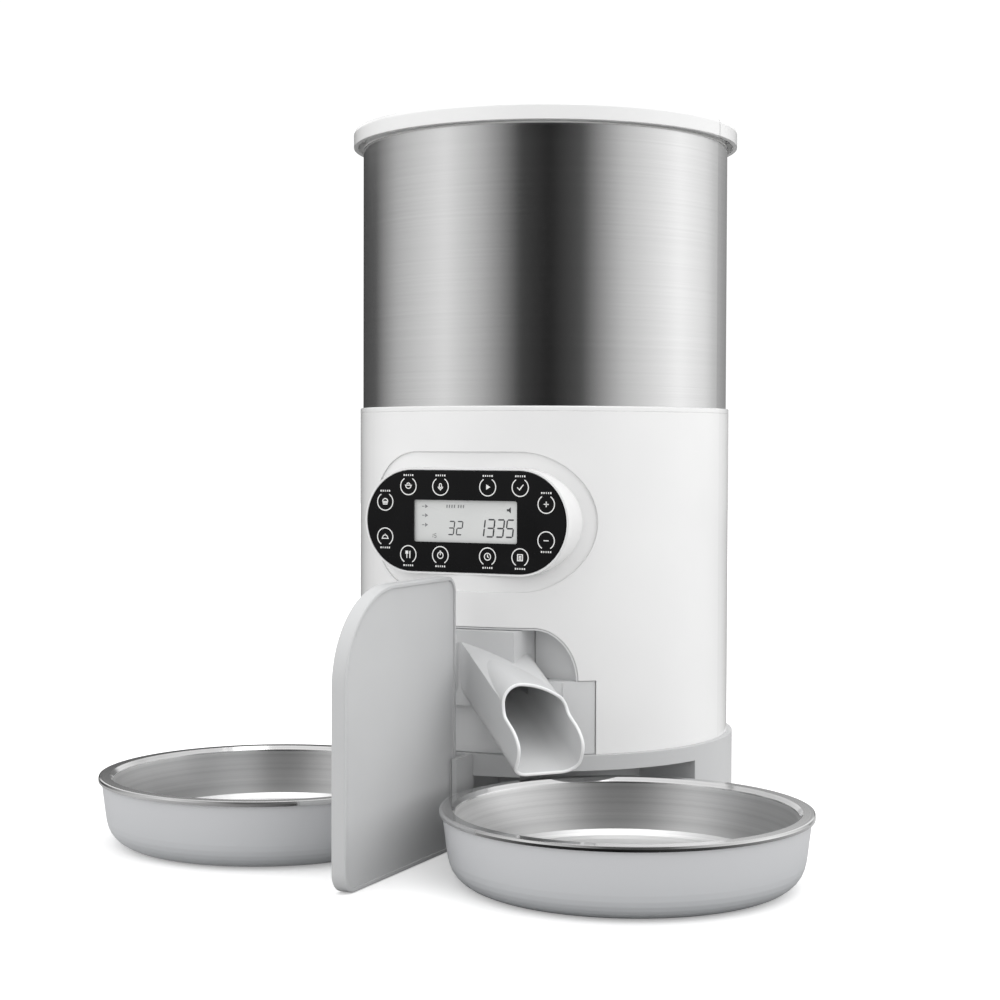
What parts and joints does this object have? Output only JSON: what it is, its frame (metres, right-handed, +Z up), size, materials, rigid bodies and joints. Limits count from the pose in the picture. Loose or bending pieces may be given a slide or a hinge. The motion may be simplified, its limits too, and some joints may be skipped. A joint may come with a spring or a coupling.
{
  "type": "automatic pet feeder",
  "caption": "Dry food feeder: steel hopper on a plastic base with a timer panel, powered paddle wheel, split chute, divider and loose steel bowls",
  "frame": {"origin": "On the floor, under the middle of the whole object's box; the body's upright axis stands 5 mm to the left and 61 mm behind it", "axes": "+Z up, the control panel, chutes and divider face -Y, +X points to the right of a person who faces the panel"},
  "size_m": [0.357, 0.3218, 0.3554],
  "materials": {
    "white_plastic": "smooth glossy white",
    "grey_plastic": "satin light grey",
    "bowl_plastic": "satin cool grey",
    "inner_plastic": "satin off-white",
    "rotor_plastic": "satin grey",
    "gear_plastic": "natural acetal",
    "black_gloss": "polished black",
    "black_plastic": "satin black",
    "lcd_glass": "grey reflective display",
    "circuit_board": "green solder mask",
    "cell_jacket": "printed steel jacket",
    "brushed_steel": "fine horizontal brushing",
    "bowl_steel": "polished rim, satin inside",
    "steel_screw": "zinc plated",
    "steel_shaft": "ground",
    "motor_can": "plated can",
    "nickel": "nickel plated",
    "brass": "turned",
    "rubber": "matt black",
    "silicone": "translucent grey"
  },
  "bodies": {
    "housing": {"base": "grey_plastic", "bottom_plate": "grey_plastic", "rubber_feet": "rubber", "base_screws": "steel_screw", "battery_box": "grey_plastic", "battery_cells": "cell_jacket", "battery_contacts": "nickel", "dc_inlet": "black_plastic", "main_board": "circuit_board", "main_housing": "white_plastic", "housing_screws": "steel_screw", "shell_ring": "white_plastic", "hopper_shell": "brushed_steel", "food_hopper": "inner_plastic", "shaft_bush": "brass", "gear_motor": "motor_can", "motor_plate": "grey_plastic", "motor_screws": "steel_screw", "food_splitter": "grey_plastic", "chute_surround": "grey_plastic", "control_panel": "black_gloss", "lcd_display": "lcd_glass", "control_board": "circuit_board", "touch_springs": "nickel", "microphone": "nickel", "speaker": "black_plastic"},
    "lid": {"lid": "white_plastic", "lid_seal": "silicone"},
    "rotor": {"rotor": "rotor_plastic", "stirrer": "silicone", "drive_gear": "gear_plastic", "drive_shaft": "steel_shaft"},
    "pinion": {"motor_pinion": "gear_plastic", "motor_shaft": "steel_shaft"},
    "divider": {"divider_plate": "grey_plastic"},
    "battery_door": {"battery_door": "grey_plastic"},
    "holder_right": {"bowl_holder_right": "bowl_plastic", "steel_bowl_right": "bowl_steel"},
    "holder_left": {"bowl_holder_left": "bowl_plastic", "steel_bowl_left": "bowl_steel"}
  },
  "joints": [
    {"name": "lid_lift", "type": "slide", "parent": "housing", "child": "lid", "axis": [0, 0, 1], "range_m": [0, 0.06]},
    {"name": "rotor_spin", "type": "hinge", "parent": "housing", "child": "rotor", "pos_m": [-0.00496, 0.06093, 0.122], "axis": [0, 0, 1], "continuous": true},
    {"name": "pinion_spin", "type": "hinge", "parent": "housing", "child": "pinion", "pos_m": [-0.00496, 0.09613, 0.095], "axis": [0, 0, 1], "continuous": true},
    {"name": "divider_lift", "type": "slide", "parent": "housing", "child": "divider", "axis": [0, 0, 1], "range_m": [0, 0.02]},
    {"name": "battery_door_drop", "type": "slide", "parent": "housing", "child": "battery_door", "axis": [0, 0, -1], "range_m": [0, 0.03]},
    {"name": "holder_right_pull", "type": "slide", "parent": "housing", "child": "holder_right", "axis": [0.5864, -0.81, 0], "range_m": [-0.02, 0.08]},
    {"name": "holder_left_pull", "type": "slide", "parent": "housing", "child": "holder_left", "axis": [-0.5864, -0.81, 0], "range_m": [-0.003, 0.097]}
  ],
  "couplings": [
    {"joint": "pinion_spin", "follows": "rotor_spin", "ratio": -3}
  ]
}
